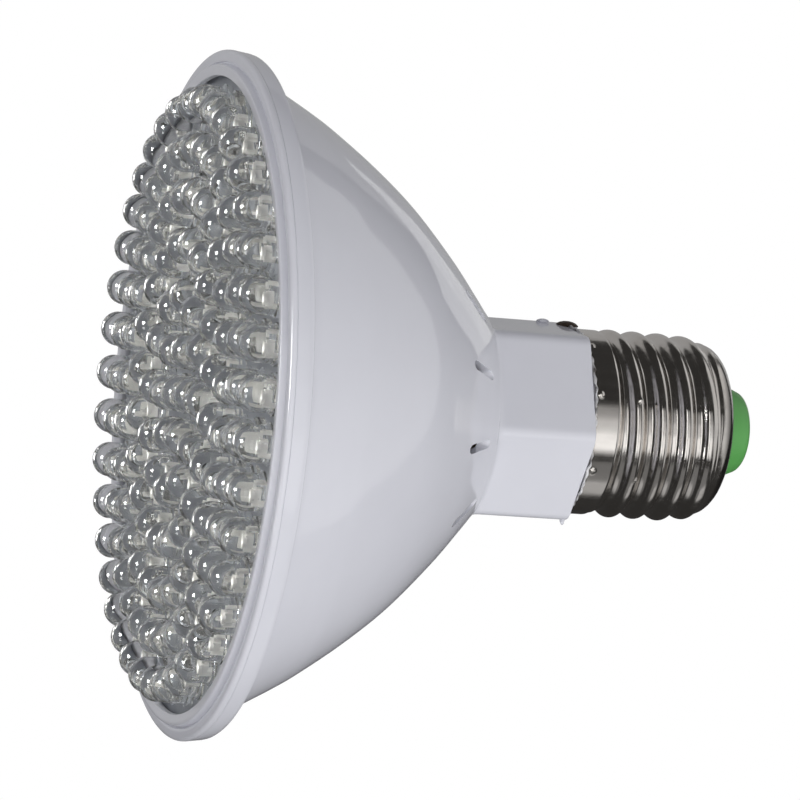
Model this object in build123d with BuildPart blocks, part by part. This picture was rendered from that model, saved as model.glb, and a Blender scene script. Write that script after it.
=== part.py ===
from build123d import *
from math import cos, hypot, pi, radians, sin, sqrt
import os

os.makedirs("parts", exist_ok=True)

# The lamp stands on the tips of its diodes with the screw cap up.
# Millimetres. The lamp's axis is Z and the diode tips lie at height 0.

# Diodes: clear round lenses in rings, one in the middle
led_radius = 2.5
led_height = 5.65
led_edge_margin = 3.9
# each ring, from the middle: how many diodes, how far the ring stands outside
# even spacing, angle of the first diode
led_rings = [
    (6, 0.12, 152.2),
    (12, 0.03, 154.3),
    (20, 0.65, 172.4),
    (27, 0.77, 174.7),
    (33, 0.48, 170.7),
    (39, 0.0, 177.7),
]
# the faceted dome: how wide and how high its step and its tip are, as ratios
facet_swell = 1.06
dome_step_width = 0.7
dome_step_height = 0.3
dome_tip_width = 0.16

# Diode board, the part that the front is sized from
board_radius = 44.0
board_thickness = 1.6

# Front bezel ring
bezel_overlap = 0.6
bezel_depth = 1.55
lip_thickness = 0.8
crest_inset = 1.45
crest_rise = 0.1
crest_fall = 0.15
crest_edge = 0.2
step_width = 0.5
flange_thickness = 0.9
flange_edge = 0.3
bezel_skirt_wall = 0.8
bezel_pad_count = 12
bezel_pad_width = 4.0

# Housing shell, from the rim to the foot of the neck
rim_wall = 1.6
wall = 1.6
ledge_width = 1.9
band_height = 2.4
band_taper = 0.25
band_edge = 0.3
seam_setback = 0.1
shell_step = 0.7
shell_height = 34.8
shell_end_radius = 15.1
shell_bulge = 2.7
cavity_rise = 2.0
slot_count = 12
slot_length = 5.2
slot_width = 1.3
slot_margin = 2.1
slot_depth = 12.0
slot_angle = 13.5

# Neck and the stub that carries the cap
neck_length = 14.3
neck_step = 0.66
neck_wall = 2.6
neck_corner_radius = 2.2
neck_vertex_angle = 40.0
collar_height = 2.6
stub_length = 18.15
stub_wall = 2.0
groove_depth = 0.5

# Screw cap, right-hand knuckle thread
cap_length = 21.75
thread_pitch = 3.629
thread_radius = 13.15
thread_depth = 1.05
knuckle_radius = 1.025
first_crest_height = 5.49
first_crest_angle = 180.0
ridge_lead_in = 0.55
ridge_root_gap = 0.06
ridge_sink = 0.2
ridge_end_margin = 1.0
skirt_inset = 0.21
skirt_height = 3.6
skirt_neck_in = 0.9
shoulder_radius = 3.1
sheet = 0.4
cap_hole_radius = 7.1

# Adhesive bead between neck and cap
bead_thickness = 0.3
bead_spread = 0.41
bead_wave = 0.22
bead_waves = 18

# Insulator and centre contact
plug_inset = 2.9
plug_length = 2.9
insulator_height = 4.3
cone_foot = 0.3
cone_draft = 1.2
cone_edge = 0.6
lead_hole_radius = 1.4
contact_radius = 3.4
contact_height = 0.8

# Driver board and what stands on it
driver_thickness = 1.2
driver_inset = 1.0
driver_margin = 4.0
part_gap = 0.8
film_width = 11.0
film_height = 5.0
rectifier_width = 8.4
rectifier_height = 6.4
rectifier_depth = 3.3
rectifier_offset = 4.6
moulding_edge = 0.5
can_radius = 4.0
can_length = 11.5
can_offset = 4.0
barrel_radius = 1.2
barrel_length = 6.4
barrel_lift = 1.6
leg_radius = 0.3
leg_span = 10.0
leg_reach = 0.5

# Insulated leads
lead_radius = 0.65
lead_bend = 1.8
board_lead_offset = 4.5
neutral_offset = 5.0
neutral_drop = 2.0

# Clearances
gap = 0.3
slide = 0.05
skirt_relief = 0.1

# Heights, from the diode tips up
board_front = led_height
board_back = board_front + board_thickness
seam = board_front
bezel_front = seam - bezel_depth
band_end = seam + band_height
shell_foot = band_end + shell_step
shell_end = shell_foot + shell_height
neck_end = shell_end + neck_length
collar_end = neck_end + collar_height
stub_end = neck_end + stub_length
skirt_foot = neck_end + bead_thickness
skirt_top = skirt_foot + skirt_height
cap_end = skirt_foot + cap_length
insulator_end = cap_end + insulator_height

# Radii, from the board outward and from the thread inward
bezel_opening_radius = board_radius - bezel_overlap
skirt_inner = board_radius + gap
skirt_outer = skirt_inner + bezel_skirt_wall
recess_radius = skirt_outer + gap
rim_radius = recess_radius + rim_wall
ledge_inner_radius = board_radius - ledge_width
shell_foot_radius = ledge_inner_radius + wall
thread_root = thread_radius - thread_depth
cap_bore = thread_root - sheet
stub_radius = cap_bore - gap
stub_bore_radius = stub_radius - stub_wall
cap_skirt_radius = thread_radius - skirt_inset
collar_radius = cap_skirt_radius - sheet - gap
neck_half_flats = collar_radius + neck_step
neck_bore_radius = neck_half_flats - neck_wall


def ring_places(radius, count, start):
    """Places round the axis, each turned to face outward."""
    return PolarLocations(radius, count, start_angle=start)


# One diode: a six-sided body whose dome is two rows of flat facets
hexagon_radius = led_radius * facet_swell
half_flats = hexagon_radius * cos(pi / 6)
dome_inset = half_flats * (1 - dome_step_width) / (1 - dome_step_height)
tip_inset = half_flats * (1 - dome_tip_width) - dome_inset
step_rise = led_radius * dome_step_height
step_slope = hypot(dome_inset * dome_step_height, step_rise)


def led_shape():
    """The clear lens of one diode, tip down, foot on the board."""
    with BuildPart() as lens:
        with BuildSketch():
            RegularPolygon(hexagon_radius, 6)
        extrude(amount=led_height)
        front = lens.faces().sort_by(Axis.Z)[0]
        chamfer(front.edges(), dome_inset, led_radius, reference=front)
        front = lens.faces().sort_by(Axis.Z)[0]
        chamfer(front.edges(), tip_inset, step_slope, reference=front)
    return lens.part


lens_part = led_shape()

with BuildPart() as led_centre:
    add(lens_part)
led_centre.part.label = "led_centre"
export_step(led_centre.part, "parts/led_centre.step")

outer_ring_radius = bezel_opening_radius - led_edge_margin
ring_spacing = outer_ring_radius / len(led_rings)
for number, (count, outward, start) in enumerate(led_rings, start=1):
    with BuildPart() as led_ring:
        with ring_places(ring_spacing * number + outward, count, start):
            add(lens_part)
    led_ring.part.label = f"led_ring_{number}"
    export_step(led_ring.part, f"parts/led_ring_{number}.step")

# Round board that carries the diodes
with BuildPart() as led_board:
    with BuildSketch(Plane.XY.offset(board_front)):
        Circle(board_radius)
    extrude(amount=board_thickness)
led_board.part.label = "led_board"
export_step(led_board.part, "parts/led_board.step")

# Bezel ring: a front lip with a raised crest, a step down to the flange, a skirt
# behind the lip that locates the ring, and pads that press on the board
lip_back = bezel_front + lip_thickness
flange_front = seam - flange_thickness
crest_radius = bezel_opening_radius + crest_inset
with BuildPart() as bezel_ring:
    with BuildSketch(Plane.XZ) as bezel_section:
        with BuildLine():
            Polyline(
                (rim_radius, flange_front),
                (crest_radius + step_width, flange_front),
                (crest_radius + crest_edge, bezel_front + crest_fall),
                (crest_radius, bezel_front - crest_rise),
                (bezel_opening_radius, bezel_front),
                (bezel_opening_radius, lip_back),
                (skirt_inner, lip_back),
                (skirt_inner, board_back - skirt_relief),
                (skirt_outer, board_back - skirt_relief),
                (skirt_outer, seam),
                (rim_radius - seam_setback, seam),
                (rim_radius, flange_front),
            )
        make_face()
        outer_corner = bezel_section.vertices().sort_by(Axis.X)[-1]
        chamfer(outer_corner, flange_edge)
    revolve(axis=Axis.Z)
    with BuildSketch(Plane.XY.offset(lip_back)):
        pad_length = skirt_inner - bezel_opening_radius + bezel_skirt_wall / 2
        with ring_places(bezel_opening_radius + pad_length / 2, bezel_pad_count, 0):
            Rectangle(pad_length, bezel_pad_width)
    extrude(amount=board_front - lip_back)
bezel_ring.part.label = "bezel_ring"
export_step(bezel_ring.part, "parts/bezel_ring.step")

# Housing: a turned shell, a six-sided neck, a round stub for the cap
driver_top = neck_end - driver_inset
driver_width = 2 * (neck_bore_radius + groove_depth)
cavity_end = shell_end + cavity_rise
slot_radius = shell_end_radius + slot_margin + slot_length / 2
notch_floor = stub_end - neutral_drop - lead_radius - gap
with BuildPart() as housing:
    with BuildSketch(Plane.XZ):
        with BuildLine():
            Polyline(
                (0, shell_end),
                (0, seam),
                (rim_radius - seam_setback, seam),
                (rim_radius - seam_setback - band_taper, band_end - band_edge),
                (rim_radius - seam_setback - band_taper - band_edge, band_end),
                (shell_foot_radius, shell_foot),
            )
            SagittaArc((shell_foot_radius, shell_foot), (shell_end_radius, shell_end), -shell_bulge)
            Line((shell_end_radius, shell_end), (0, shell_end))
        make_face()
    revolve(axis=Axis.Z)
    with BuildSketch(Plane.XY.offset(shell_end)) as neck_outline:
        RegularPolygon(neck_half_flats, 6, major_radius=False, rotation=neck_vertex_angle)
        fillet(neck_outline.vertices(), neck_corner_radius)
    extrude(amount=neck_length)
    with BuildSketch(Plane.XY.offset(neck_end)):
        Circle(collar_radius)
    extrude(amount=collar_height)
    with BuildSketch(Plane.XY.offset(collar_end)):
        Circle(stub_radius)
    extrude(amount=stub_end - collar_end)
    # the hollow: bezel recess, cavity behind the board, bore of the neck and stub
    with BuildSketch(Plane.XZ):
        with BuildLine():
            Polyline(
                (0, seam),
                (recess_radius, seam),
                (recess_radius, board_back),
                (ledge_inner_radius, board_back),
                (ledge_inner_radius, shell_foot),
            )
            SagittaArc((ledge_inner_radius, shell_foot), (neck_bore_radius, cavity_end), -shell_bulge)
            Polyline(
                (neck_bore_radius, cavity_end),
                (neck_bore_radius, driver_top),
                (stub_bore_radius, driver_top),
                (stub_bore_radius, stub_end),
                (0, stub_end),
                (0, seam),
            )
        make_face()
    revolve(axis=Axis.Z, mode=Mode.SUBTRACT)
    # two grooves in the neck that hold the driver board by its edges
    with BuildSketch(Plane.XY.offset(shell_end)):
        Rectangle(driver_width + 2 * slide, driver_thickness + 2 * slide)
    extrude(amount=driver_top - shell_end, mode=Mode.SUBTRACT)
    # vent slots just before the neck, cut along the axis
    with BuildSketch(Plane.XY.offset(shell_end)):
        with ring_places(slot_radius, slot_count, slot_angle):
            SlotOverall(slot_length, slot_width)
    extrude(amount=-slot_depth, mode=Mode.SUBTRACT)
    # notch in the stub's end that lets the neutral lead out to the cap
    with BuildSketch(Plane.XY.offset(notch_floor)):
        with Locations((-stub_radius, 0)):
            Rectangle(2 * stub_wall + gap, 2 * lead_radius + 2 * gap)
    extrude(amount=stub_end - notch_floor, mode=Mode.SUBTRACT)
housing.part.label = "housing"
export_step(housing.part, "parts/housing.step")

# Screw shell: turned sheet body with a helical knuckle ridge
ridge_foot = skirt_foot + first_crest_height - ridge_lead_in * thread_pitch
ridge_top = cap_end - shoulder_radius - ridge_end_margin
ridge_half = thread_pitch / 2 - ridge_root_gap
# how far the rounding falls off 30 degrees away from a crest or a root
knuckle_fall = knuckle_radius * (1 - cos(pi / 6))
knuckle_half = knuckle_radius * sin(pi / 6)
with BuildPart() as screw_shell:
    with BuildSketch(Plane.XZ) as shell_section:
        Polygon(
            (0, skirt_foot),
            (cap_skirt_radius, skirt_foot),
            (cap_skirt_radius, skirt_top),
            (thread_root, skirt_top + skirt_neck_in),
            (thread_root, cap_end),
            (0, cap_end),
            align=None,
        )
        shoulder = shell_section.vertices().group_by(Axis.Y)[-1].sort_by(Axis.X)[-1]
        fillet(shoulder, shoulder_radius)
    revolve(axis=Axis.Z)
    with BuildPart(mode=Mode.PRIVATE) as ridge:
        with BuildLine() as ridge_path:
            Helix(thread_pitch, ridge_top - ridge_foot, thread_root, center=(0, 0, ridge_foot))
        # the rounded crest and roots are drawn in short flats, which keeps the faces few
        with BuildSketch(Plane.XZ):
            with Locations((thread_root, ridge_foot)):
                Polygon(
                    (0, -ridge_half),
                    (knuckle_fall, knuckle_half - thread_pitch / 2),
                    (thread_depth / 2, -thread_pitch / 4),
                    (thread_depth - knuckle_fall, -knuckle_half),
                    (thread_depth, 0),
                    (thread_depth - knuckle_fall, knuckle_half),
                    (thread_depth / 2, thread_pitch / 4),
                    (knuckle_fall, thread_pitch / 2 - knuckle_half),
                    (0, ridge_half),
                    (-ridge_sink, ridge_half),
                    (-ridge_sink, -ridge_half),
                    align=None,
                )
        sweep(path=ridge_path.wire(), is_frenet=True)
    add(ridge.part.rotate(Axis.Z, first_crest_angle - ridge_lead_in * 360))
    # the inside of the sheet: wide behind the skirt, plain behind the thread
    with BuildSketch(Plane.XZ) as shell_hollow:
        Polygon(
            (0, skirt_foot),
            (cap_skirt_radius - sheet, skirt_foot),
            (cap_skirt_radius - sheet, skirt_top),
            (cap_bore, skirt_top + skirt_neck_in),
            (cap_bore, cap_end - sheet),
            (0, cap_end - sheet),
            align=None,
        )
        inner_shoulder = shell_hollow.vertices().group_by(Axis.Y)[-1].sort_by(Axis.X)[-1]
        chamfer(inner_shoulder, shoulder_radius - sheet)
    revolve(axis=Axis.Z, mode=Mode.SUBTRACT)
    with BuildSketch(Plane.XY.offset(cap_end)):
        Circle(cap_hole_radius)
    extrude(amount=-shoulder_radius, mode=Mode.SUBTRACT)
screw_shell.part.label = "screw_shell"
export_step(screw_shell.part, "parts/screw_shell.step")

# Bead of adhesive between the neck's end and the skirt, with a wavy edge
bead_radius = cap_skirt_radius + bead_spread
bead_edge = []
for wave in range(bead_waves):
    wave_radius = bead_radius + bead_wave * sin(2.4 * wave) * cos(1.1 * wave)
    wave_angle = radians(wave * 360 / bead_waves)
    bead_edge.append((wave_radius * cos(wave_angle), wave_radius * sin(wave_angle)))
with BuildPart() as adhesive_bead:
    with BuildSketch(Plane.XY.offset(neck_end)):
        with BuildLine():
            Spline(*bead_edge, periodic=True)
        make_face()
        Circle(collar_radius + gap, mode=Mode.SUBTRACT)
    extrude(amount=bead_thickness)
adhesive_bead.part.label = "adhesive_bead"
export_step(adhesive_bead.part, "parts/adhesive_bead.step")

# Green insulator: a plug under the cap's curled end and the cone outside it
plug_radius = cap_bore - plug_inset
plug_top = cap_end - sheet
plug_bottom = plug_top - plug_length
cone_radius = cap_hole_radius - gap
with BuildPart() as cap_insulator:
    with BuildSketch(Plane.XZ) as insulator_section:
        Polygon(
            (lead_hole_radius, plug_bottom),
            (plug_radius, plug_bottom),
            (plug_radius, plug_top),
            (cone_radius, plug_top),
            (cone_radius, cap_end + cone_foot),
            (cone_radius - cone_draft, insulator_end),
            (lead_hole_radius, insulator_end),
            align=None,
        )
        cone_corner = insulator_section.vertices().group_by(Axis.Y)[-1].sort_by(Axis.X)[-1]
        chamfer(cone_corner, cone_edge)
    revolve(axis=Axis.Z)
cap_insulator.part.label = "cap_insulator"
export_step(cap_insulator.part, "parts/cap_insulator.step")

# Centre contact: a low button with a flat top
with BuildPart() as centre_contact:
    with BuildSketch(Plane.XY.offset(insulator_end)):
        Circle(contact_radius)
    extrude(amount=contact_height)
    chamfer(centre_contact.faces().sort_by(Axis.Z)[-1].edges(), contact_height / 2)
centre_contact.part.label = "centre_contact"
export_step(centre_contact.part, "parts/centre_contact.step")

# The parts on the driver board stand one below the other, from its top edge down
film_middle = driver_top - driver_margin - film_height / 2
upper_row = film_middle - film_height / 2 - part_gap - barrel_radius
lower_row = upper_row - 2 * barrel_radius - part_gap
rectifier_middle = lower_row - barrel_radius - part_gap - rectifier_height / 2
can_middle = rectifier_middle - rectifier_height / 2 - part_gap - can_radius
driver_bottom = can_middle - can_radius - part_gap
with BuildPart() as driver_board:
    with BuildSketch(Plane.XY.offset(driver_bottom)):
        Rectangle(driver_width, driver_thickness)
    extrude(amount=driver_top - driver_bottom)
driver_board.part.label = "driver_board"
export_step(driver_board.part, "parts/driver_board.step")

# They stand on the face that looks along +Y
face_y = driver_thickness / 2
board_side = Plane(origin=(0, face_y, 0), x_dir=(1, 0, 0), z_dir=(0, 1, 0))


def block_on_board(middle_x, middle_z, width, height, depth):
    """A moulded block that stands on the board's face."""
    with BuildPart() as block:
        with BuildSketch(board_side):
            with Locations((middle_x, -middle_z)):
                Rectangle(width, height)
        extrude(amount=depth)
        chamfer(block.faces().sort_by(Axis.Y)[-1].edges(), moulding_edge)
    return block.part


# the film capacitor is as deep as the neck's round bore leaves room for
film_reach = sqrt((neck_bore_radius - part_gap) ** 2 - (film_width / 2) ** 2)
with BuildPart() as film_capacitor:
    add(block_on_board(0, film_middle, film_width, film_height, film_reach - face_y))
film_capacitor.part.label = "film_capacitor"
export_step(film_capacitor.part, "parts/film_capacitor.step")

with BuildPart() as bridge_rectifier:
    add(
        block_on_board(
            -rectifier_offset,
            rectifier_middle,
            rectifier_width,
            rectifier_height,
            rectifier_depth,
        )
    )
bridge_rectifier.part.label = "bridge_rectifier"
export_step(bridge_rectifier.part, "parts/bridge_rectifier.step")

# Electrolytic capacitor: a can standing on the board
with BuildPart() as electrolytic_capacitor:
    with BuildSketch(board_side):
        with Locations((can_offset, -can_middle)):
            Circle(can_radius)
    extrude(amount=can_length)
    chamfer(electrolytic_capacitor.faces().sort_by(Axis.Y)[-1].edges(), moulding_edge)
electrolytic_capacitor.part.label = "electrolytic_capacitor"
export_step(electrolytic_capacitor.part, "parts/electrolytic_capacitor.step")

# Two leaded resistors, each a barrel on two bent legs
barrel_y = face_y + barrel_lift
with BuildPart() as resistors:
    for row in (lower_row, upper_row):
        with BuildSketch(Plane(origin=(0, barrel_y, row), z_dir=(1, 0, 0))):
            Circle(barrel_radius)
        extrude(amount=barrel_length / 2, both=True)
        for side in (-1, 1):
            with BuildLine() as leg_path:
                Polyline(
                    (side * (barrel_length / 2 - leg_reach), barrel_y, row),
                    (side * leg_span / 2, barrel_y, row),
                    (side * leg_span / 2, face_y, row),
                )
            with BuildSketch(Plane(origin=leg_path.line @ 1, z_dir=(0, 1, 0))):
                Circle(leg_radius)
            sweep(path=leg_path.line, transition=Transition.RIGHT)
resistors.part.label = "resistors"
export_step(resistors.part, "parts/resistors.step")


def straight_lead(middle_x, bottom, top):
    """A round insulated lead that runs straight along the lamp."""
    with BuildPart() as lead:
        with BuildSketch(Plane.XY.offset(bottom)):
            with Locations((middle_x, 0)):
                Circle(lead_radius)
        extrude(amount=top - bottom)
    return lead.part


# Leads: one up to the contact, one out to the cap, two down to the diode board
with BuildPart() as live_lead:
    add(straight_lead(0, driver_top, insulator_end))
live_lead.part.label = "live_lead"
export_step(live_lead.part, "parts/live_lead.step")

with BuildPart() as positive_lead:
    add(straight_lead(-board_lead_offset, board_back, driver_bottom))
positive_lead.part.label = "positive_lead"
export_step(positive_lead.part, "parts/positive_lead.step")

with BuildPart() as negative_lead:
    add(straight_lead(board_lead_offset, board_back, driver_bottom))
negative_lead.part.label = "negative_lead"
export_step(negative_lead.part, "parts/negative_lead.step")

# The neutral lead leaves the stub through its notch and ends on the cap's inside
neutral_height = stub_end - neutral_drop
neutral_end = sqrt(cap_bore**2 - lead_radius**2) - slide
with BuildPart() as neutral_lead:
    with BuildLine() as neutral_route:
        FilletPolyline(
            (-neutral_offset, 0, driver_top),
            (-neutral_offset, 0, neutral_height),
            (-neutral_end, 0, neutral_height),
            radius=lead_bend,
        )
    with BuildSketch(Plane.XY.offset(driver_top)):
        with Locations((-neutral_offset, 0)):
            Circle(lead_radius)
    sweep(path=neutral_route.line)
neutral_lead.part.label = "neutral_lead"
export_step(neutral_lead.part, "parts/neutral_lead.step")
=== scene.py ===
"""Looks of a reflector-shaped LED grow lamp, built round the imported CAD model.

The lamp is written in millimetres and scaled to metres when a mesh is made.
Lights and camera are placed in metres. The lamp's axis is Z, the diode tips lie
at height 0 and the cap is on top. Profile points are (radius, height).
"""
import random
from math import atan2, cos, exp, floor, hypot, pi, radians, sin, sqrt, tan

import bmesh
import bpy
from mathutils import Matrix, Vector


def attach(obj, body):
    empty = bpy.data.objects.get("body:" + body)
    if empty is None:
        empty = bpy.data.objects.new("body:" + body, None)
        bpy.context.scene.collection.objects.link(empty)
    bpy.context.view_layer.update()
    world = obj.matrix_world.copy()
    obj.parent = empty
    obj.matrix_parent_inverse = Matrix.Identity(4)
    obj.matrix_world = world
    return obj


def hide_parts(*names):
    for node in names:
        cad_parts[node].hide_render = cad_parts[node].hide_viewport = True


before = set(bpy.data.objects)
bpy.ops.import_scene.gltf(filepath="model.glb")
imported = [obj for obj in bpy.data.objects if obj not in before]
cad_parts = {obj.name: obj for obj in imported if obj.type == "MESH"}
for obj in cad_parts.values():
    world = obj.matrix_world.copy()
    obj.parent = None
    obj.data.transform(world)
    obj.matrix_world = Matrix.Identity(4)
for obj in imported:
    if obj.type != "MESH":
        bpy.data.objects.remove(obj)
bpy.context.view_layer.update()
MM = 0.001
rng = random.Random(11)

# Sizes shared with the CAD model

RIM = 47.0
OPENING = 43.4
BEZEL_FRONT = 4.1
BEZEL_BACK = 7.15
BOARD_BACK = 7.25
SEAM = 5.65

LED_RADIUS = 2.5
LED_FLANGE = 2.85
LED_HEIGHT = 5.65
# number of diodes, radius of their ring, angle of the first one
LED_RINGS = [
    (6, 6.7, 152.2),
    (12, 13.2, 154.3),
    (20, 20.4, 172.4),
    (27, 27.1, 174.7),
    (33, 33.4, 170.7),
    (39, 39.5, 177.7),
]

LEDGE = 42.1
CAVITY_FOOT = 8.75
CAVITY_TOP = 45.55
CAVITY_BULGE = 2.7
SHELL_END = 43.55
SHELL_END_RADIUS = 15.1
NECK_FLATS = 25.8
NECK_CORNER = 2.2
NECK_VERTEX = 40.0
NECK_SHELF = 56.85
NECK_END = 57.85
NECK_BORE = 10.3
STUB_STEP = 12.24
STUB_STEP_END = 60.45
STUB_RADIUS = 11.4
STUB_BORE = 9.4
STUB_END = 76.0

VENT_COUNT = 12
VENT_START = 13.5
VENT_MIDDLE = 19.8
VENT_LENGTH = 5.2
VENT_WIDTH = 1.3
VENT_LOW = 31.55
VENT_HIGH = 43.5

PITCH = 3.629
THREAD = 13.15
ROOT = 12.1
KNUCKLE = 1.025
FIRST_CREST = 63.64
SKIRT = 12.94
SKIRT_FOOT = 58.15
SKIRT_TOP = 61.75
CAP_END = 79.9
CAP_HOLE = 7.1
CAP_INSIDE = 11.7
SHEET = 0.4

PLUG_RADIUS = 8.8
PLUG_BOTTOM = 76.6
PLUG_TOP = 79.5
NOSE_RADIUS = 6.8
LEAD_HOLE = 1.4
INSULATOR_END = 84.2
CONTACT = 3.4
CONTACT_END = 85.0


# Materials


class Nodes:
    """A small helper that wires a procedural material."""

    def __init__(self, name):
        self.mat = bpy.data.materials.new(name)
        self.mat.use_nodes = True
        self.tree = self.mat.node_tree
        self.tree.nodes.clear()
        self.out = self.tree.nodes.new("ShaderNodeOutputMaterial")
        self.coords = self.tree.nodes.new("ShaderNodeTexCoord")

    def node(self, kind, **values):
        """A node whose sockets or, for want of a socket, settings take the values."""
        made = self.tree.nodes.new(kind)
        for key, value in values.items():
            if key in made.inputs:
                made.inputs[key].default_value = value
            else:
                setattr(made, key, value)
        return made

    def link(self, a, b):
        self.tree.links.new(a, b)

    def noise(self, scale, detail, rough=0.55, stretch=None):
        """Noise over the piece's own coordinates, which stretch scales along each axis."""
        tex = self.node("ShaderNodeTexNoise", Scale=scale, Detail=detail, Roughness=rough)
        where = self.coords.outputs["Object"]
        if stretch:
            mapping = self.node("ShaderNodeMapping", Scale=stretch)
            self.link(where, mapping.inputs["Vector"])
            where = mapping.outputs["Vector"]
        self.link(where, tex.inputs["Vector"])
        return tex.outputs["Fac"]

    def ramp(self, source, dark, light, start=0.3, end=0.7):
        """A colour that goes from dark to light while the source goes from start to end."""
        made = self.tree.nodes.new("ShaderNodeValToRGB")
        dark_stop, light_stop = made.color_ramp.elements
        dark_stop.position = start
        dark_stop.color = (*dark, 1.0)
        light_stop.position = end
        light_stop.color = (*light, 1.0)
        self.link(source, made.inputs["Fac"])
        return made.outputs["Color"]

    def spread(self, source, low, high, start=0.3, end=0.7):
        """A value that goes from low to high while the source goes from start to end."""
        made = self.node("ShaderNodeMapRange")
        made.inputs["From Min"].default_value = start
        made.inputs["From Max"].default_value = end
        made.inputs["To Min"].default_value = low
        made.inputs["To Max"].default_value = high
        self.link(source, made.inputs["Value"])
        return made.outputs["Result"]

    def tinted(self, base, tint, amount):
        """The base colour with a plain tint mixed in."""
        made = self.node("ShaderNodeMix", data_type="RGBA")
        made.inputs["B"].default_value = (*tint, 1.0)
        self.link(amount, made.inputs["Factor"])
        self.link(base, made.inputs["A"])
        return made.outputs["Result"]

    def bump(self, source, strength, distance, before=None):
        """A bumped normal, laid over the one before it."""
        made = self.node("ShaderNodeBump", Strength=strength, Distance=distance)
        self.link(source, made.inputs["Height"])
        if before:
            self.link(before, made.inputs["Normal"])
        return made.outputs["Normal"]

    def finish(self, shader):
        self.link(shader, self.out.inputs["Surface"])
        return self.mat


SPECK_TINT = (0.16, 0.14, 0.12)
# Painted dark reflection on the cap's nickel shoulder: the dark tint it turns to above a height,
# and the height over which that tint blends in.
PAINTED_SHOULDER_REFLECTION = (0.20, 0.19, 0.18)
PAINTED_REFLECTION_BLEND = 0.7


def speckled(n, colour):
    """The colour with a few dark specks: small cells, kept only where a noise is high."""
    cells = n.node("ShaderNodeTexVoronoi", Scale=420.0)
    n.link(n.coords.outputs["Object"], cells.inputs["Vector"])
    pick = n.noise(150.0, 1.0)
    dots = n.spread(cells.outputs["Distance"], 1.0, 0.0, 0.05, 0.11)
    some = n.spread(pick, 0.0, 1.0, 0.71, 0.75)
    both = n.node("ShaderNodeMath", operation="MULTIPLY")
    n.link(dots, both.inputs[0])
    n.link(some, both.inputs[1])
    return n.tinted(colour, SPECK_TINT, both.outputs[0])


def plastic(
    name, dark, light, rough, cloud=60.0, pebble=1500.0, pebble_depth=0.000005, specks=False
):
    """Moulded plastic: faint clouding, a fine skin and, if asked, a few dark specks."""
    n = Nodes(name)
    shader = n.node("ShaderNodeBsdfPrincipled", IOR=1.5)
    colour = n.ramp(n.noise(cloud, 4.0), dark, light)
    if specks:
        colour = speckled(n, colour)
    n.link(colour, shader.inputs["Base Color"])
    smear = n.noise(120.0, 5.0, 0.6)
    n.link(n.spread(smear, rough * 0.75, rough * 1.3), shader.inputs["Roughness"])
    wave = n.bump(n.noise(90.0, 2.0), 0.10, 0.0001)
    grain = n.bump(n.noise(pebble, 2.0), 0.3, pebble_depth, wave)
    n.link(grain, shader.inputs["Normal"])
    return n.finish(shader.outputs["BSDF"])


def metal(name, dark, light, rough, painted_dark_above=None, metallic=1.0):
    """Metal with drawn marks, smudges and pits, and if asked a painted dark reflection above a
    height.
    """
    n = Nodes(name)
    shader = n.node("ShaderNodeBsdfPrincipled", Metallic=metallic)
    colour = n.ramp(n.noise(160.0, 4.0), dark, light, 0.32, 0.68)
    # Painted dark reflection: the colour turns to a dark tint above the given height.
    if painted_dark_above:
        split = n.node("ShaderNodeSeparateXYZ")
        n.link(n.coords.outputs["Object"], split.inputs["Vector"])
        end = painted_dark_above + PAINTED_REFLECTION_BLEND
        above = n.spread(split.outputs["Z"], 0.0, 1.0, painted_dark_above * MM, end * MM)
        colour = n.tinted(colour, PAINTED_SHOULDER_REFLECTION, above)
    n.link(colour, shader.inputs["Base Color"])
    marks = n.noise(1.0, 3.0, 0.6, stretch=(900.0, 900.0, 60.0))
    smudges = n.noise(230.0, 5.0, 0.7)
    blend = n.node("ShaderNodeMath", operation="MULTIPLY_ADD")
    blend.inputs[1].default_value = 0.5
    n.link(smudges, blend.inputs[0])
    n.link(marks, blend.inputs[2])
    uneven = n.spread(blend.outputs[0], rough * 0.6, rough * 1.7, 0.5, 1.0)
    n.link(uneven, shader.inputs["Roughness"])
    drawn = n.bump(marks, 0.12, 0.00002)
    pitted = n.bump(n.noise(700.0, 2.0), 0.15, 0.00003, drawn)
    n.link(pitted, shader.inputs["Normal"])
    return n.finish(shader.outputs["BSDF"])


def clear_epoxy(name):
    """Clear cast epoxy with a faint ripple; its shadow is clear, so the parts inside are lit."""
    n = Nodes(name)
    shader = n.node("ShaderNodeBsdfPrincipled", IOR=1.53)
    shader.inputs["Transmission Weight"].default_value = 1.0
    colour = n.ramp(n.noise(90.0, 2.0), (0.91, 0.91, 0.895), (0.95, 0.95, 0.94))
    n.link(colour, shader.inputs["Base Color"])
    n.link(n.spread(n.noise(500.0, 3.0), 0.01, 0.05), shader.inputs["Roughness"])
    n.link(n.bump(n.noise(420.0, 1.0), 0.2, 0.00008), shader.inputs["Normal"])
    clear = n.node("ShaderNodeBsdfTransparent", Color=(0.93, 0.93, 0.91, 1.0))
    path = n.node("ShaderNodeLightPath")
    mix = n.node("ShaderNodeMixShader")
    n.link(path.outputs["Is Shadow Ray"], mix.inputs["Fac"])
    n.link(shader.outputs["BSDF"], mix.inputs[1])
    n.link(clear.outputs["BSDF"], mix.inputs[2])
    return n.finish(mix.outputs["Shader"])


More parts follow.
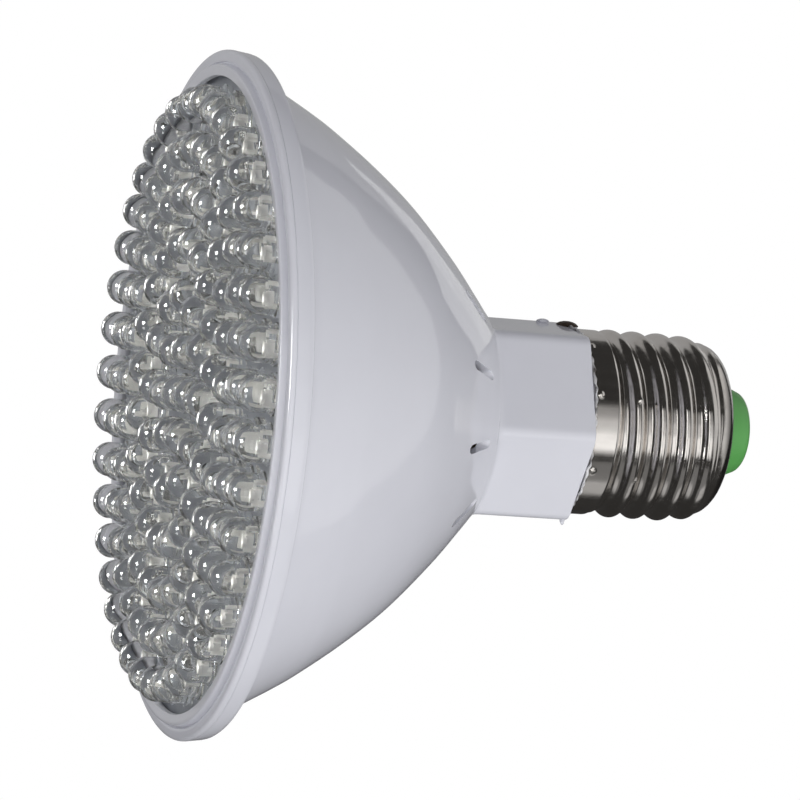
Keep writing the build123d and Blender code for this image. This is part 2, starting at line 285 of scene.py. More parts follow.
WHITE = plastic("white_moulding", (0.705, 0.71, 0.765), (0.735, 0.74, 0.795), 0.06, specks=True)
BEZEL_WHITE = plastic(
    "bezel_moulding", (0.72, 0.725, 0.78), (0.76, 0.765, 0.82), 0.16, specks=True
)
MASK = plastic("board_mask", (0.20, 0.215, 0.245), (0.28, 0.295, 0.325), 0.45, cloud=200.0)
EPOXY = clear_epoxy("clear_epoxy")
FRAME_METAL = metal(
    "lead_frame_plate", (0.84, 0.83, 0.79), (0.96, 0.95, 0.92), 0.30, metallic=0.25
)
CHIP = plastic("diode_chip", (0.30, 0.20, 0.04), (0.46, 0.34, 0.08), 0.3, cloud=4000.0)
# Above 77.6 mm the cap's nickel shoulder carries a painted dark reflection, not a darker metal.
NICKEL = metal("nickel_plate", (0.66, 0.625, 0.59), (0.74, 0.71, 0.68), 0.16, painted_dark_above=77.6)
GLUE = plastic(
    "set_adhesive", (0.05, 0.04, 0.035), (0.98, 0.98, 1.0), 0.30,
    cloud=420.0, pebble=900.0, pebble_depth=0.0001,
)
GREEN = plastic("green_moulding", (0.085, 0.33, 0.075), (0.12, 0.41, 0.10), 0.38)
TIN = metal("tinned_contact", (0.62, 0.60, 0.56), (0.78, 0.76, 0.72), 0.25)
LAMINATE = plastic("brown_laminate", (0.34, 0.22, 0.09), (0.44, 0.30, 0.13), 0.45, cloud=300.0)
DIPPED_RED = plastic("dipped_red", (0.32, 0.04, 0.03), (0.42, 0.07, 0.05), 0.25)
SLEEVE = plastic("shrink_sleeve", (0.02, 0.025, 0.04), (0.05, 0.055, 0.075), 0.3)
PACKAGE = plastic(
    "black_package", (0.015, 0.015, 0.016), (0.035, 0.035, 0.037), 0.5, pebble_depth=0.00006
)
LACQUER = plastic("blue_lacquer", (0.26, 0.38, 0.45), (0.36, 0.48, 0.54), 0.25)
WIRE_BROWN = plastic("brown_wire", (0.12, 0.05, 0.02), (0.17, 0.08, 0.03), 0.5)
WIRE_BLUE = plastic("blue_wire", (0.03, 0.08, 0.28), (0.05, 0.12, 0.36), 0.5)
WIRE_RED = plastic("red_wire", (0.34, 0.02, 0.015), (0.44, 0.04, 0.03), 0.5)
WIRE_BLACK = plastic("black_wire", (0.012, 0.012, 0.013), (0.03, 0.03, 0.032), 0.5)
GAP_DARK = plastic("dark_filler", (0.035, 0.02, 0.012), (0.08, 0.05, 0.03), 0.6)


# Meshes


def smooth(obj, sharp):
    """Shades an object smooth, but for edges sharper than an angle in degrees."""
    mesh = obj.data
    mesh.polygons.foreach_set("use_smooth", [True] * len(mesh.polygons))
    mesh.set_sharp_from_angle(angle=radians(sharp))
    mesh.update()


def make_object(name, verts, faces, mat, sharp=40.0):
    """A smooth-shaded object from points in millimetres."""
    mesh = bpy.data.meshes.new(name)
    mesh.from_pydata([(x * MM, y * MM, z * MM) for x, y, z in verts], [], faces)
    mesh.materials.append(mat)
    mesh.validate()
    obj = bpy.data.objects.new(name, mesh)
    bpy.context.scene.collection.objects.link(obj)
    smooth(obj, sharp)
    return obj


def plain(points):
    """Rows of a skin that are the same all the way round."""
    return [lambda angle, point=point: point for point in points]


def skin(rows, count, closed=True):
    """Points and faces of a turned skin: each row gives a profile point for an angle."""
    verts, faces = [], []
    for row in rows:
        for k in range(count):
            angle = 2 * pi * k / count
            r, z = row(angle)
            verts.append((r * cos(angle), r * sin(angle), z))
    total = len(rows)
    for i in range(total if closed else total - 1):
        j = (i + 1) % total
        for k in range(count):
            m = (k + 1) % count
            faces.append((i * count + k, i * count + m, j * count + m, j * count + k))
    return verts, faces


def lathe(name, profile, count, mat, sharp=40.0):
    """A ring-shaped solid turned from a closed profile."""
    verts, faces = skin(plain(profile), count)
    return make_object(name, verts, faces, mat, sharp)


def capped_lathe(name, profile, count, mat, sharp=40.0):
    """A solid turned from an open profile whose ends are closed by flat caps."""
    verts, faces = skin(plain(profile), count, closed=False)
    last = (len(profile) - 1) * count
    faces.append(tuple(reversed(range(count))))
    faces.append(tuple(range(last, last + count)))
    return make_object(name, verts, faces, mat, sharp)


def arc(centre, radius, start, end, steps):
    """Profile points of an arc, angles in degrees."""
    points = []
    for i in range(steps + 1):
        angle = radians(start + (end - start) * i / steps)
        points.append((centre[0] + radius * cos(angle), centre[1] + radius * sin(angle)))
    return points


def curve_through(points, steps):
    """A smooth curve through points (Catmull-Rom), with the same number of steps in each span."""
    out = []
    last = len(points) - 1
    for i in range(last):
        before = points[max(i - 1, 0)]
        a, b = points[i], points[i + 1]
        after = points[min(i + 2, last)]
        for s in range(steps):
            t = s / steps
            out.append(tuple(
                0.5 * (
                    2 * a[k]
                    + (b[k] - before[k]) * t
                    + (2 * before[k] - 5 * a[k] + 4 * b[k] - after[k]) * t * t
                    + (3 * a[k] - before[k] - 3 * b[k] + after[k]) * t ** 3
                )
                for k in (0, 1)
            ))
    out.append(points[-1])
    return out


def bulged(start, end, bulge, steps):
    """Points of a shallow arc from start to end that swells outward by bulge."""
    half = hypot(end[0] - start[0], end[1] - start[1]) / 2
    radius = (half * half + bulge * bulge) / (2 * bulge)
    along = ((end[0] - start[0]) / (2 * half), (end[1] - start[1]) / (2 * half))
    away = (along[1], -along[0])
    points = []
    for step in range(steps + 1):
        t = (2 * step / steps - 1) * half
        rise = sqrt(radius * radius - t * t) - radius + bulge
        middle = ((start[0] + end[0]) / 2 + along[0] * t, (start[1] + end[1]) / 2 + along[1] * t)
        points.append((middle[0] + away[0] * rise, middle[1] + away[1] * rise))
    return points


def box_cutter(name, low, high):
    """A plain box between two corners, to cut grooves and notches with."""
    points = []
    for z in (low[2], high[2]):
        for y in (low[1], high[1]):
            points += [(low[0], y, z), (high[0], y, z)]
    quads = [(0, 2, 3, 1), (4, 5, 7, 6), (0, 1, 5, 4), (1, 3, 7, 5), (3, 2, 6, 7), (2, 0, 4, 6)]
    return make_object(name, points, quads, WHITE)


def cut(obj, cutter):
    """Takes the cutter away from the object and keeps the result as its mesh."""
    modifier = obj.modifiers.new("cut", "BOOLEAN")
    modifier.operation = "DIFFERENCE"
    modifier.solver = "EXACT"
    modifier.object = cutter
    graph = bpy.context.evaluated_depsgraph_get()
    result = bpy.data.meshes.new_from_object(obj.evaluated_get(graph))
    obj.modifiers.clear()
    old = obj.data
    obj.data = result
    bpy.data.meshes.remove(old)
    bpy.data.objects.remove(cutter)


# Housing

BAND_STEP = 45.4
BAND = [
    (BAND_STEP, BOARD_BACK),
    (BAND_STEP, SEAM + 0.15),
    (BAND_STEP + 0.1, SEAM),
    (RIM - 0.13, SEAM),
    (RIM - 0.07, SEAM + 0.03),
    (RIM - 0.05, SEAM + 0.15),
    (46.75, 7.4),
    (46.66, 7.75),
    (46.5, 7.98),
    (46.2, 8.1),
    (44.3, 8.45),
    (43.85, 8.55),
]
SHELL = [
    (43.7, 8.75),
    (42.45, 11.15),
    (41.4, 13.1),
    (39.8, 16.0),
    (37.9, 19.1),
    (33.7, 25.1),
    (28.8, 31.1),
    (22.6, 37.2),
    (18.0, 41.15),
    (15.25, 43.4),
]
STUB = [
    (STUB_STEP, NECK_END),
    (STUB_STEP, STUB_STEP_END),
    (STUB_RADIUS, STUB_STEP_END),
    (STUB_RADIUS, STUB_END),
    (STUB_BORE, STUB_END),
    (STUB_BORE, NECK_SHELF),
    (NECK_BORE, NECK_SHELF),
]
NECK_START = 43.6
NECK_BLEND = 1.5
NECK_BLEND_STEPS = 8
NECK_HEIGHTS = (46.5, 49.0, 52.0, 55.0, 57.0, NECK_END - 0.25)
HOUSING_SHARP = 32.0

# corners of the boxes that cut the driver's groove and the neutral lead's notch
DRIVER_GROOVE = ((-10.85, -0.65, SHELL_END), (10.85, 0.65, NECK_SHELF))
NEUTRAL_NOTCH = ((-13.55, -0.95, 73.05), (-9.25, 0.95, STUB_END + 1.0))


def hexagon(angle):
    """Radius of the rounded six-sided neck at an angle."""
    half_side = radians(30.0)
    turn = abs((angle - radians(NECK_VERTEX)) % radians(60.0) - half_side)
    flat = NECK_FLATS / 2
    touch = atan2((flat - NECK_CORNER) * tan(half_side), flat)
    if turn <= touch:
        return flat / cos(turn)
    # past the flat, the outline is a circle about a point on the vertex's own line
    centre = (flat - NECK_CORNER) / cos(half_side)
    away = half_side - turn
    return centre * cos(away) + sqrt(NECK_CORNER ** 2 - (centre * sin(away)) ** 2)


def neck_row(z, roundness=0.0, inset=0.0):
    """A row of the neck: roundness 1 is the round end of the shell, 0 the six-sided neck."""
    def row(angle):
        return hexagon(angle) * (1 - roundness) + SHELL_END_RADIUS * roundness - inset, z
    return row


def housing_rows():
    """Rows of the housing: band, shell, neck, stub and back through the cavity."""
    rows = plain(BAND + curve_through(SHELL, 7) + [(SHELL_END_RADIUS + 0.02, SHELL_END)])
    for step in range(1, NECK_BLEND_STEPS + 1):
        t = step / NECK_BLEND_STEPS
        rows.append(neck_row(NECK_START + NECK_BLEND * t * t, (1 - t) ** 2))
    rows += [neck_row(z) for z in NECK_HEIGHTS]
    rows += [neck_row(NECK_END - 0.08, inset=0.04), neck_row(NECK_END, inset=0.2)]
    rows += plain(STUB)
    cavity = bulged((LEDGE, CAVITY_FOOT), (NECK_BORE, CAVITY_TOP), CAVITY_BULGE, 16)
    rows += plain(reversed(cavity))
    rows += plain([(LEDGE, BOARD_BACK)])
    return rows


def vent_cutter():
    """Round-ended bars that stand along the axis, one for each vent."""
    half = VENT_WIDTH / 2
    end = (VENT_LENGTH - VENT_WIDTH) / 2
    outline = []
    for side in (1, -1):
        for i in range(9):
            a = -pi / 2 + pi * i / 8
            outline.append((VENT_MIDDLE + side * (end + half * cos(a)), side * half * sin(a)))
    size = len(outline)
    points, quads = [], []
    for k in range(VENT_COUNT):
        turn = radians(VENT_START + 360.0 * k / VENT_COUNT)
        base = len(points)
        for z in (VENT_LOW, VENT_HIGH):
            for x, y in outline:
                points.append((x * cos(turn) - y * sin(turn), x * sin(turn) + y * cos(turn), z))
        quads.append(tuple(base + i for i in reversed(range(size))))
        quads.append(tuple(base + size + i for i in range(size)))
        for i in range(size):
            j = (i + 1) % size
            quads.append((base + i, base + j, base + size + j, base + size + i))
    return make_object("slot_cutter", points, quads, WHITE)


verts, faces = skin(housing_rows(), 360)
housing = make_object("housing_moulding", verts, faces, WHITE, HOUSING_SHARP)
cut(housing, vent_cutter())
cut(housing, box_cutter("groove_cutter", *DRIVER_GROOVE))
cut(housing, box_cutter("notch_cutter", *NEUTRAL_NOTCH))
smooth(housing, HOUSING_SHARP)
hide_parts("housing")
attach(housing, "root")

# Bezel ring: lip, raised crest, groove, rounded edge, and back along the seam

CREST = OPENING + 1.45
LIP_BACK = BEZEL_FRONT + 0.8
EDGE_ROUND = 0.55
bezel_profile = [
    (OPENING, LIP_BACK),
    (OPENING, BEZEL_FRONT + 0.15),
    (OPENING + 0.05, BEZEL_FRONT + 0.04),
    (OPENING + 0.2, BEZEL_FRONT),
    (CREST - 0.35, BEZEL_FRONT - 0.1),
    *arc((CREST - 0.1, BEZEL_FRONT + 0.1), 0.2, -90, -10, 5),
    (CREST + 0.14, 4.4),
    (CREST + 0.2, 5.0),
    (CREST + 0.26, 5.1),
    (CREST + 0.38, 5.1),
    (CREST + 0.46, 4.98),
    (CREST + 0.52, 4.82),
    (45.6, 4.76),
    (45.75, 4.76),
    *arc((RIM - EDGE_ROUND, 5.3), EDGE_ROUND, -95, 0, 10),
    (RIM - 0.01, 5.56),
    (RIM - 0.04, 5.62),
    (RIM - 0.1, SEAM),
    (45.1, SEAM),
    (45.1, BEZEL_BACK),
    (44.3, BEZEL_BACK),
    (44.3, LIP_BACK),
]
bezel = lathe("bezel_front_ring", bezel_profile, 512, BEZEL_WHITE, 50.0)
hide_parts("bezel_ring")
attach(bezel, "root")

# Diodes

DOME_ANGLES = (4, 12, 22, 32, 42, 52, 62, 72, 82, 90)
FLANGE_FRONT = 4.68
LENS_SIDES = 28
CUP_SIDES = 12
CUP_MIDDLE = (0.35, 0.0)
LEAN = 0.8
TURN = 5.0

# centre and size of each box of a lead frame: post, its leg, bond pad, its leg
FRAME_BLOCKS = [
    ((0.4, 0.0, 3.97), (1.5, 0.55, 1.2)),
    ((1.0, 0.0, 5.0), (0.45, 0.4, 0.9)),
    ((-0.85, 0.0, 3.55), (0.55, 0.4, 0.35)),
    ((-1.05, 0.0, 4.55), (0.4, 0.4, 1.75)),
]
CHIP_BLOCK = ((0.35, 0.0, 3.31), (0.3, 0.3, 0.14))
# corners of each face of a block
BLOCK_QUADS = [
    (3, 2, 1, 0),
    (4, 5, 6, 7),
    (0, 1, 5, 4),
    (1, 2, 6, 5),
    (2, 3, 7, 6),
    (3, 0, 4, 7),
]


def led_profile():
    """Outline of one clear lens from the tip to the foot."""
    points = []
    for degrees in DOME_ANGLES:
        a = radians(degrees)
        points.append((LED_RADIUS * sin(a), LED_RADIUS - LED_RADIUS * cos(a)))
    points += [(2.47, 3.6), (2.46, 4.55), (2.52, FLANGE_FRONT - 0.02)]
    points += [(LED_FLANGE - 0.1, FLANGE_FRONT), (LED_FLANGE, FLANGE_FRONT + 0.1)]
    points += [(LED_FLANGE, LED_HEIGHT - 0.1), (LED_FLANGE - 0.08, LED_HEIGHT)]
    return points


def block(bm, centre, size, place, mat_index):
    """One small box with its own place, added to a bmesh."""
    corners = []
    for dz in (-0.5, 0.5):
        for dx, dy in ((-0.5, -0.5), (0.5, -0.5), (0.5, 0.5), (-0.5, 0.5)):
            local = Vector((
                centre[0] + dx * size[0],
                centre[1] + dy * size[1],
                centre[2] + dz * size[2],
            ))
            corners.append(bm.verts.new(place @ local * MM))
    for quad in BLOCK_QUADS:
        face = bm.faces.new([corners[i] for i in quad])
        face.material_index = mat_index


def ring_of(bm, radius, z, count, place, middle=(0.0, 0.0)):
    """A ring of vertices about a middle point, in a diode's own place."""
    out = []
    for k in range(count):
        a = 2 * pi * k / count
        local = Vector((middle[0] + radius * cos(a), middle[1] + radius * sin(a), z))
        out.append(bm.verts.new(place @ local * MM))
    return out


def bridge(bm, a, b):
    """Smooth faces between two rings of the same size."""
    size = len(a)
    for k in range(size):
        m = (k + 1) % size
        face = bm.faces.new((a[k], a[m], b[m], b[k]))
        face.smooth = True


def add_lens(bm, place):
    """One clear lens: dome, body and flange."""
    rings = [ring_of(bm, r, z, LENS_SIDES, place) for r, z in led_profile()]
    tip = bm.faces.new(list(reversed(rings[0])))
    tip.smooth = True
    for a, b in zip(rings, rings[1:]):
        bridge(bm, b, a)
    bm.faces.new(rings[-1])


def add_lead_frame(bm, place):
    """The cup, posts and chip inside a lens: material 0 is plated metal, 1 the chip."""
    rim = ring_of(bm, 0.62, 3.05, CUP_SIDES, place, CUP_MIDDLE)
    outer = ring_of(bm, 0.55, 3.55, CUP_SIDES, place, CUP_MIDDLE)
    inner_rim = ring_of(bm, 0.52, 3.05, CUP_SIDES, place, CUP_MIDDLE)
    inner = ring_of(bm, 0.3, 3.38, CUP_SIDES, place, CUP_MIDDLE)
    bridge(bm, outer, rim)
    bridge(bm, rim, inner_rim)
    bridge(bm, inner_rim, inner)
    bm.faces.new(list(reversed(inner)))
    bm.faces.new(outer)
    for centre, size in FRAME_BLOCKS:
        block(bm, centre, size, place, 0)
    block(bm, *CHIP_BLOCK, place, 1)


def finish_mesh(bm, name, mats):
    """An object from a bmesh, with its normals outward."""
    mesh = bpy.data.meshes.new(name)
    bmesh.ops.recalc_face_normals(bm, faces=bm.faces)
    bm.to_mesh(mesh)
    bm.free()
    for mat in mats:
        mesh.materials.append(mat)
    mesh.set_sharp_from_angle(angle=radians(35.0))
    obj = bpy.data.objects.new(name, mesh)
    bpy.context.scene.collection.objects.link(obj)
    return obj


def led_places(count, radius, start):
    """A place for each diode of a ring: foot on the board, a little lean and turn."""
    places = []
    for k in range(count):
        a = radians(start + 360.0 * k / count)
        foot = Matrix.Translation((radius * cos(a), radius * sin(a), LED_HEIGHT))
        lean_x = Matrix.Rotation(radians(rng.gauss(0, LEAN)), 4, "X")
        lean_y = Matrix.Rotation(radians(rng.gauss(0, LEAN)), 4, "Y")
        turn = Matrix.Rotation(a + pi / 2 + radians(rng.gauss(0, TURN)), 4, "Z")
        to_tip = Matrix.Translation((0, 0, -LED_HEIGHT))
        places.append(foot @ (lean_x @ lean_y) @ turn @ to_tip)
    return places


all_rings = [("led_centre", 1, 0.0, 0.0)]
all_rings += [("led_ring_%d" % (i + 1), *ring) for i, ring in enumerate(LED_RINGS)]
for node_name, count, radius, start in all_rings:
    lens_bm = bmesh.new()
    frame_bm = bmesh.new()
    for place in led_places(count, radius, start):
        add_lens(lens_bm, place)
        add_lead_frame(frame_bm, place)
    lenses = finish_mesh(lens_bm, node_name.replace("led", "lens"), [EPOXY])
    frames = finish_mesh(frame_bm, node_name.replace("led", "lead_frames"), [FRAME_METAL, CHIP])
    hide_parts(node_name)
    for piece, slot_name in ((lenses, "clear_lens"), (frames, "contact_metal")):
        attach(piece, "root")

# Screw cap

# heights over which the thread rises, thins out and ends
THREAD_RISES = (61.3, 63.2)
THREAD_THINS = (73.2, 76.2)
THREAD_ENDS = (76.3, 78.1)
THREAD_FILLET = 0.12
CAP_ROW_HEIGHT = 0.16
CAP_ROWS_END = 77.2
SHOULDER = [
    (ROOT - 0.02, 77.35),
    (12.0, 77.75),
    (11.8, 78.2),
    (11.45, 78.65),
    (10.95, 79.1),
    (10.3, 79.45),
    (9.5, 79.72),
    (8.6, 79.86),
    (7.8, CAP_END),
    (7.3, 79.88),
    (CAP_HOLE, 79.75),
]
CAP_BACK = [
    (CAP_HOLE, PLUG_TOP),
    (9.0, PLUG_TOP),
    (CAP_INSIDE, 76.8),
    (CAP_INSIDE, 62.3),
    (SKIRT - SHEET, 61.4),
]

# angle in degrees, height and rise of each staking mark
DIMPLES = [
    (216.6, 58.75, 0.28),
    (253.2, 58.85, 0.3),
    (302.2, 58.8, 0.3),
    (255.3, 64.77, 0.3),
    (306.9, 65.35, 0.28),
]
DIMPLE_SIZE = 0.34
DIMPLE_ARM = 13.0


def knuckle(offset):
    """Radius of the rounded thread at a distance along the axis from its crest."""
    away = abs(offset)
    if away < PITCH / 4:
        return THREAD - KNUCKLE + sqrt(KNUCKLE ** 2 - away ** 2)
    return ROOT + KNUCKLE - sqrt(KNUCKLE ** 2 - (PITCH / 2 - away) ** 2)


def ease(x, low, high):
    """A soft step from 0 at low to 1 at high."""
    t = min(max((x - low) / (high - low), 0.0), 1.0)
    return t * t * (3 - 2 * t)


def cap_radius(angle, z):
    """Outer radius of the screw shell: the larger of thread and skirt, plus the staking marks."""
    phase = (z - FIRST_CREST) / PITCH - (angle / (2 * pi) - 0.5)
    offset = (phase - floor(phase + 0.5)) * PITCH
    depth = ease(z, *THREAD_RISES) * (1 - 0.35 * ease(z, *THREAD_THINS))
    depth *= 1 - ease(z, *THREAD_ENDS)
    thread = ROOT + (knuckle(offset) - ROOT) * depth
    skirt = SKIRT - (SKIRT - ROOT) * ease(z, SKIRT_TOP - 0.35, SKIRT_TOP + 1.0)
    r = max(thread, skirt)
    gap = abs(thread - skirt)
    if gap < THREAD_FILLET:
        r += (THREAD_FILLET - gap) ** 2 / (4 * THREAD_FILLET)
    for degrees, height, rise in DIMPLES:
        away = hypot((angle - radians(degrees)) * DIMPLE_ARM, z - height) / DIMPLE_SIZE
        if away < 2.5:
            r += rise * exp(-away * away)
    return r


def cap_rows():
    """Rows of the screw shell: foot of the skirt, outside, shoulder and back."""
    rows = plain([
        (SKIRT - SHEET, SKIRT_FOOT),
        (SKIRT - 0.15, SKIRT_FOOT),
        (SKIRT - 0.03, SKIRT_FOOT + 0.05),
    ])
    z = SKIRT_FOOT + CAP_ROW_HEIGHT
    while z < CAP_ROWS_END:
        rows.append(lambda angle, z=z: (cap_radius(angle, z), z))
        z += CAP_ROW_HEIGHT
    rows += plain(SHOULDER)
    rows += plain(CAP_BACK)
    return rows


verts, faces = skin(cap_rows(), 360)
cap = make_object("cap_shell", verts, faces, NICKEL, 50.0)
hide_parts("screw_shell")
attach(cap, "root")

# Bead, insulator and contact

BEAD_RADIUS = 13.0
BEAD_HEIGHT = 58.04
BEAD_SIZE = 0.27
BEAD_LEAST = 0.08
BEAD_INSIDE = 12.56
BEAD_SIDES = 10

# turns, height and shift of the waves that make an edge ragged
RAGGED_WAVES = ((7, 1.0, 1.0), (17, 0.8, 2.3), (31, 0.6, 4.1), (53, 0.5, 1.7))


def ragged(angle, seed):
    """An uneven value round the ring, about -1 to 1."""
    total = sum(high * sin(turns * angle + shift * seed) for turns, high, shift in RAGGED_WAVES)
    return total / 2.2


def bead_rows():
    """Rows of the bead: a small round section whose place and size wander round the ring."""
    rows = []
    for step in range(BEAD_SIDES):
        turn = 2 * pi * step / BEAD_SIDES

        def row(angle, turn=turn):
            size = max(BEAD_SIZE + 0.18 * ragged(angle, 5.0), BEAD_LEAST)
            r = BEAD_RADIUS + 0.16 * ragged(angle, 1.0) + size * cos(turn)
            z = BEAD_HEIGHT + 0.20 * ragged(angle, 9.0) + 0.8 * size * sin(turn)
            return max(r, BEAD_INSIDE), max(z, NECK_END + 0.01)

        rows.append(row)
    return rows


verts, faces = skin(bead_rows(), 420)
bead = make_object("bead_of_adhesive", verts, faces, GLUE, 80.0)
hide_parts("adhesive_bead")
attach(bead, "root")

NOSE = [
    (NOSE_RADIUS, 80.2),
    (6.5, 81.2),
    (6.2, 82.2),
    (5.93, 82.9),
    (5.6, 83.6),
    (5.1, 84.05),
    (4.6, INSULATOR_END),
]
insulator_profile = [
    (LEAD_HOLE, PLUG_BOTTOM),
    (PLUG_RADIUS, PLUG_BOTTOM),
    (PLUG_RADIUS, PLUG_TOP),
    (NOSE_RADIUS, PLUG_TOP),
    *curve_through(NOSE, 4),
    (LEAD_HOLE, INSULATOR_END),
]
insulator = lathe("green_insulator", insulator_profile, 192, GREEN)
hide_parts("cap_insulator")
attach(insulator, "root")

contact_profile = [
    (CONTACT, INSULATOR_END),
    (CONTACT, INSULATOR_END + 0.3),
    (CONTACT - 0.12, 84.68),
    (CONTACT - 0.35, 84.86),
    (CONTACT - 0.8, 84.97),
    (CONTACT - 1.2, CONTACT_END),
    (0.6, CONTACT_END),
]
contact = capped_lathe("contact_button", contact_profile, 96, TIN)
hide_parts("centre_contact")
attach(contact, "root")

# Marks left by moulding and gluing

LUMP_RINGS = 20
LUMP_SIDES = 32


def lump(name, centre, radii, mat, seed):
    """A small uneven blob, drawn ring by ring; seed varies its shape."""
    points, quads = [], []
    for i in range(1, LUMP_RINGS):
        down = pi * i / LUMP_RINGS
        for k in range(LUMP_SIDES):
            a = 2 * pi * k / LUMP_SIDES
            swell = 1.0 + 0.10 * sin(3 * a + seed) * sin(down)
            swell += 0.07 * sin(5 * a + 2 * down + 2 * seed)
            points.append((
                centre[0] + radii[0] * swell * sin(down) * cos(a),
                centre[1] + radii[1] * swell * sin(down) * sin(a),
                centre[2] + radii[2] * swell * cos(down),
            ))
    for i in range(LUMP_RINGS - 2):
        j = i + 1
        for k in range(LUMP_SIDES):
            m = (k + 1) % LUMP_SIDES
            quads.append((
                i * LUMP_SIDES + k,
                j * LUMP_SIDES + k,
                j * LUMP_SIDES + m,
                i * LUMP_SIDES + m,
            ))
    last = (LUMP_RINGS - 2) * LUMP_SIDES
    quads.append(tuple(range(LUMP_SIDES)))
    quads.append(tuple(reversed(range(last, last + LUMP_SIDES))))
    blob = make_object(name, points, quads, mat, 80.0)
    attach(blob, "root")


lump("filler_blob", (-13.25, 1.5, 58.15), (0.75, 1.7, 1.45), GAP_DARK, 1.0)
lump("neck_blister", (-13.72, 2.6, 54.9), (0.42, 0.7, 0.85), WHITE, 2.0)
lump("neck_burr", (13.75, -3.2, 57.6), (0.75, 0.4, 0.35), WHITE, 3.0)

# CAD nodes that stay, with better materials

for node_name, mat in {
    "led_board": MASK,
    "driver_board": LAMINATE,
    "film_capacitor": DIPPED_RED,
    "electrolytic_capacitor": SLEEVE,
    "bridge_rectifier": PACKAGE,
    "resistors": LACQUER,
    "live_lead": WIRE_BROWN,
    "neutral_lead": WIRE_BLUE,
    "positive_lead": WIRE_RED,
    "negative_lead": WIRE_BLACK,
}.items():
    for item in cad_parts[node_name].material_slots:
        item.material = mat

# Stage

FLOOR_HALF = 3000.0
FLOOR_CORNERS = [
    (-FLOOR_HALF, -FLOOR_HALF, 0),
    (FLOOR_HALF, -FLOOR_HALF, 0),
    (FLOOR_HALF, FLOOR_HALF, 0),
    (-FLOOR_HALF, FLOOR_HALF, 0),
]


def floor_material():
    """Pale floor that only the camera sees, and only from above; all other light passes.

    Part of it glows at strength 1, so that it is pale, and its matte part keeps the shadow.
    """
    n = Nodes("pale_floor")
    matte = n.node("ShaderNodeBsdfDiffuse", Color=(0.86, 0.86, 0.87, 1.0))
    glow = n.node("ShaderNodeEmission", Strength=1.0)
    pale = n.node("ShaderNodeMixShader", Fac=0.6)
    n.link(matte.outputs["BSDF"], pale.inputs[1])
    n.link(glow.outputs["Emission"], pale.inputs[2])
    clear = n.node("ShaderNodeBsdfTransparent")
    path = n.node("ShaderNodeLightPath")
    side = n.node("ShaderNodeNewGeometry")
    seen_above = n.node("ShaderNodeMath", operation="SUBTRACT")
    n.link(path.outputs["Is Camera Ray"], seen_above.inputs[0])
    n.link(side.outputs["Backfacing"], seen_above.inputs[1])
    mix = n.node("ShaderNodeMixShader")
    n.link(seen_above.outputs[0], mix.inputs["Fac"])
    n.link(clear.outputs["BSDF"], mix.inputs[1])
    n.link(pale.outputs["Shader"], mix.inputs[2])
    return n.finish(mix.outputs["Shader"])


floor_object = make_object("floor", FLOOR_CORNERS, [(0, 1, 2, 3)], floor_material())


def studio_world():
    """World that is white to the camera and has its own level for every other kind of ray."""
    world = bpy.data.worlds.new("studio")
    world.use_nodes = True
    tree = world.node_tree
    tree.nodes.clear()
    out = tree.nodes.new("ShaderNodeOutputWorld")
    rays = tree.nodes.new("ShaderNodeLightPath")

    def background(colour, strength):
        made = tree.nodes.new("ShaderNodeBackground")
        made.inputs["Color"].default_value = (*colour, 1.0)
        made.inputs["Strength"].default_value = strength
        return made.outputs["Background"]

    def chosen(ray, otherwise, when):
        made = tree.nodes.new("ShaderNodeMixShader")
        tree.links.new(rays.outputs[ray], made.inputs["Fac"])
        tree.links.new(otherwise, made.inputs[1])
        tree.links.new(when, made.inputs[2])
        return made.outputs["Shader"]

    result = background((0.97, 0.97, 1.0), 0.30)
    result = chosen("Is Glossy Ray", result, background((1.0, 0.97, 0.94), 0.035))
    result = chosen("Is Transmission Ray", result, background((1.0, 1.0, 1.0), 0.13))
    result = chosen("Is Camera Ray", result, background((1.0, 1.0, 1.0), 1.0))
    tree.links.new(result, out.inputs["Surface"])
    return world


scene = bpy.context.scene
scene.world = studio_world()

# Light

LAMP_MIDDLE = (0.0, 0.0, 0.04)
ALONG_X = (1, 0, 0)
ALONG_Y = (0, 1, 0)
ALONG_Z = (0, 0, 1)


def soft_box(name, place, size, brightness, kind, aim=LAMP_MIDDLE, side=ALONG_X):
    """A rectangular soft light, unseen by the camera.

    Its width lies along side and brightness is its radiance. A light of the kind
    "shade" shapes only the shading, and one of the kind "reflect" only shows in
    gloss and glass.
    """
    width, height = size
    data = bpy.data.lights.new(name, "AREA")
    data.shape = "RECTANGLE"
    data.size = width
    data.size_y = height
    data.energy = brightness * pi * width * height
    obj = bpy.data.objects.new(name, data)
    scene.collection.objects.link(obj)
    obj.visible_camera = False
    obj.visible_diffuse = kind == "shade"
    obj.visible_glossy = kind == "reflect"
    obj.visible_transmission = kind == "reflect"
    back = (Vector(place) - Vector(aim)).normalized()
    across = (Vector(side) - back * back.dot(Vector(side))).normalized()
    up = back.cross(across)
    turn = Matrix((across, up, back)).transposed().to_4x4()
    obj.matrix_world = Matrix.Translation(Vector(place)) @ turn
    return obj


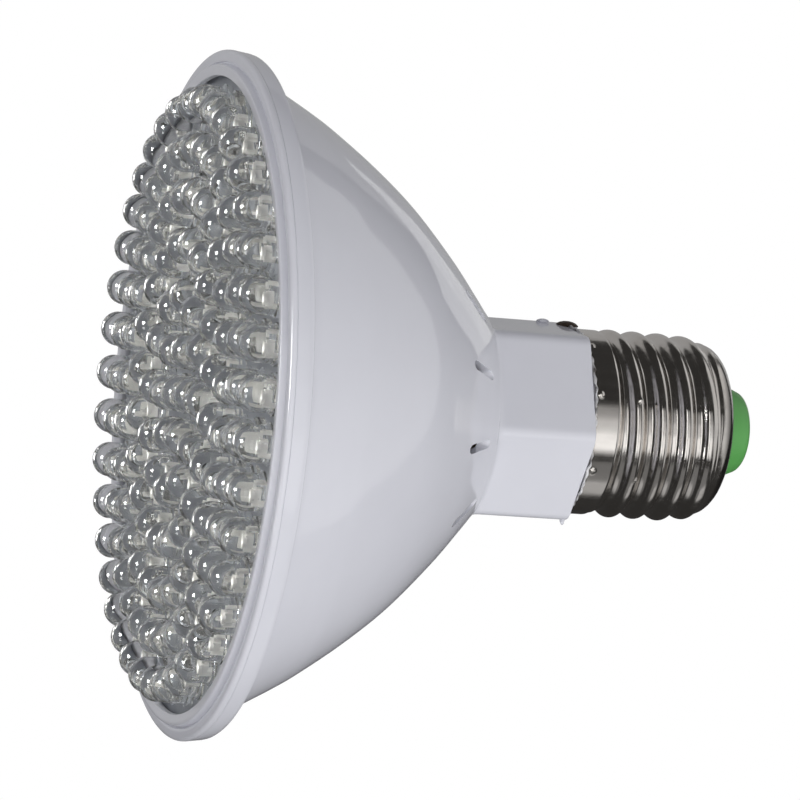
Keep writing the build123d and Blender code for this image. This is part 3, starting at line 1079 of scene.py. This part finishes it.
# Boxes that overlap as the lamp sees them, such as the windows, stand at different
# distances: in one plane they would hide each other's reflections.
soft_box("front_box", (0.18, -1.02, 0.25), (1.2, 1.8), 0.96, "shade")
soft_box("front_window", (0.142, -0.95, 0.38), (1.04, 0.62), 0.34, "reflect")
soft_box("inner_window", (0.256, -0.89, 0.37), (0.72, 0.62), 0.34, "reflect")
soft_box("hot_window", (0.36, -0.825, 0.35), (0.37, 0.60), 0.50, "reflect")
soft_box("low_window", (0.94, 0.0, 0.38), (0.38, 0.60), 0.30, "reflect", side=ALONG_Y)
soft_box("spark_low", (0.36, -0.26, -0.86), (0.22, 0.22), 9.0, "reflect")
soft_box("strip_box", (0.15, -0.86, -0.14), (0.95, 0.26), 1.6, "reflect")
soft_box("fill_box", (0.85, -0.70, 0.14), (1.3, 1.3), 1.02, "shade", side=ALONG_Z)
soft_box("under_box", (1.0, -0.25, 0.10), (1.1, 1.0), 0.16, "reflect", side=ALONG_Z)
soft_box(
    "side_box", (-0.405, -0.205, 1.04), (2.0, 0.9), 0.62, "reflect",
    aim=(-0.405, -0.205, 0.0), side=(0.922, -0.387, 0.0),
)
soft_box("backdrop_box", (-0.74, 1.0, -0.4), (1.68, 3.2), 0.34, "reflect", aim=(-0.74, 0.0, -0.4))
soft_box("patch_box", (-0.40, 1.0, 1.27), (0.6, 0.90), 0.8, "reflect", aim=(-0.40, 0.0, 1.27))
soft_box("back_fill", (-0.2, 1.1, 0.3), (1.3, 1.3), 0.6, "shade")
soft_box("face_box", (-0.303, -0.375, -1.36), (0.42, 0.42), 8.0, "shade")
spark = soft_box("spark_box", (-0.13, -0.30, -0.90), (0.36, 0.36), 24.0, "reflect")
spark.data.shape = "DISK"

# Camera, solved from the photo: 17.28 degrees off the plane of the face, rolled by
# 3.86 degrees, from 0.548 m away

EYE = Vector((0.00989277, -0.53162539, -0.13107247))
RIGHT = Vector((-0.0642803, -0.29704158, 0.95269845))
UP = Vector((-0.99773152, 0.0, -0.06731876))
FORWARD = Vector((-0.01999647, 0.95486454, 0.29636775))
camera_data = bpy.data.cameras.new("photo_view")
camera_data.sensor_width = 36.0
camera_data.lens = 181.4
camera_data.clip_start = 0.01
camera_data.clip_end = 20.0
camera = bpy.data.objects.new("photo_view", camera_data)
scene.collection.objects.link(camera)
turn = Matrix((RIGHT, UP, -FORWARD)).transposed().to_4x4()
camera.matrix_world = Matrix.Translation(EYE) @ turn
scene.camera = camera
scene.view_settings.view_transform = "Standard"
